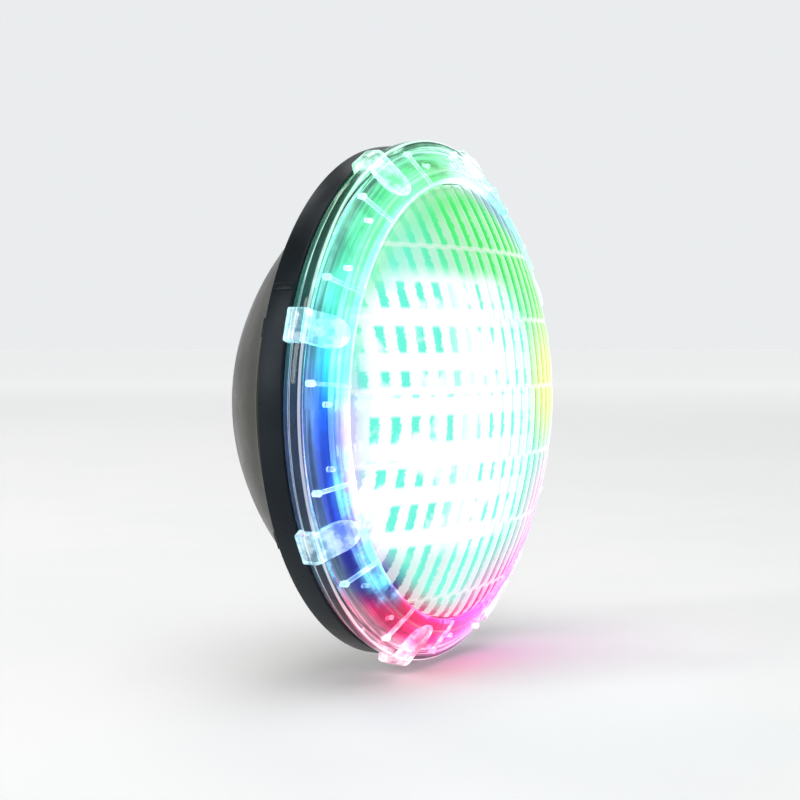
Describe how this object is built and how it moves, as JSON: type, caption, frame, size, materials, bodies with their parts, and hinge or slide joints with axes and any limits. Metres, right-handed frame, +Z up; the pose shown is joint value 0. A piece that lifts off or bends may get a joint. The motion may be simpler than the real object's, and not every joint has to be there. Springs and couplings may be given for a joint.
{
  "type": "underwater pool light",
  "caption": "Round underwater pool light: lit multicolour light field behind a domed fluted clear lens and clipped clear bezel, black pan, hollow rear bowl across a water gap, rear terminals.",
  "frame": {"origin": "on the lamp's axis, in the plane of the black pan's rear face, where the lamp seats in its niche", "axes": "+Y along the lamp's axis towards the terminals, so the lens faces -Y; +Z up, +X to the right seen from the front"},
  "size_m": [0.178, 0.0911, 0.178],
  "materials": {
    "black_plastic": "satin black moulded plastic",
    "grey_plastic": "satin dark olive-grey moulded plastic",
    "gloss_black_plastic": "glossy black plastic",
    "clear_plastic": "clear moulded polycarbonate",
    "white_plastic": "white",
    "black_rubber": "matt",
    "aluminium": "machined",
    "stainless_steel": "bright stainless steel",
    "brass": "plain brass",
    "board_green": "green solder mask",
    "enamelled_copper": "enamelled copper wire",
    "capacitor_sleeve": "dark blue shrink sleeve",
    "red_insulation": "red wire insulation",
    "black_insulation": "black wire insulation",
    "led_green": "lit green light source",
    "led_mint": "lit mint light source",
    "led_white": "lit white light source",
    "led_blue": "lit blue light source",
    "led_red": "lit red light source"
  },
  "bodies": {
    "lamp": {"housing_pan": "black_plastic", "rear_bowl": "grey_plastic", "terminal_column": "gloss_black_plastic", "column_gasket": "black_rubber", "clear_bezel": "clear_plastic", "front_lens": "clear_plastic", "pan_seal": "black_rubber", "lens_support_ring": "white_plastic", "heat_spreader": "aluminium", "led_board": "white_plastic", "led_row_1": "led_green", "led_row_2": "led_mint", "led_row_3": "led_white", "led_row_4": "led_white", "led_row_5": "led_white", "led_row_6": "led_blue", "led_row_7": "led_red", "terminal_block": "black_plastic", "resin_plug": "gloss_black_plastic", "terminal_plate_left": "brass", "terminal_plate_right": "brass", "driver_board": "board_green", "choke_coil": "enamelled_copper", "capacitor_1": "capacitor_sleeve", "capacitor_2": "capacitor_sleeve", "controller_module": "black_plastic", "bridge_rectifier": "black_plastic", "led_lead_red": "red_insulation", "led_lead_black": "black_insulation", "post_screw_1": "stainless_steel", "post_screw_2": "stainless_steel", "post_screw_3": "stainless_steel", "post_screw_4": "stainless_steel", "post_screw_5": "stainless_steel", "column_screw_1": "stainless_steel", "column_screw_2": "stainless_steel", "column_screw_3": "stainless_steel", "board_screw_1": "stainless_steel", "board_screw_2": "stainless_steel", "board_screw_3": "stainless_steel"},
    "left_clamp": {"clamp_washer_left": "stainless_steel"},
    "left_screw": {"terminal_screw_left": "stainless_steel"},
    "right_clamp": {"clamp_washer_right": "stainless_steel"},
    "right_screw": {"terminal_screw_right": "stainless_steel"}
  },
  "joints": [
    {"name": "left_clamp_lift", "type": "slide", "parent": "lamp", "child": "left_clamp", "axis": [0, 1, 0], "range_m": [0, 0.0028]},
    {"name": "left_screw_turn", "type": "hinge", "parent": "left_clamp", "child": "left_screw", "pos_m": [-0.0075, 0.04, 0], "axis": [0, 1, 0], "range_deg": [0, 1440]},
    {"name": "right_clamp_lift", "type": "slide", "parent": "lamp", "child": "right_clamp", "axis": [0, 1, 0], "range_m": [0, 0.0028]},
    {"name": "right_screw_turn", "type": "hinge", "parent": "right_clamp", "child": "right_screw", "pos_m": [0.0075, 0.04, 0], "axis": [0, 1, 0], "range_deg": [0, 1440]}
  ],
  "couplings": [
    {"joint": "left_screw_turn", "follows": "left_clamp_lift", "rad_per_m": 8976},
    {"joint": "right_screw_turn", "follows": "right_clamp_lift", "rad_per_m": 8976}
  ]
}
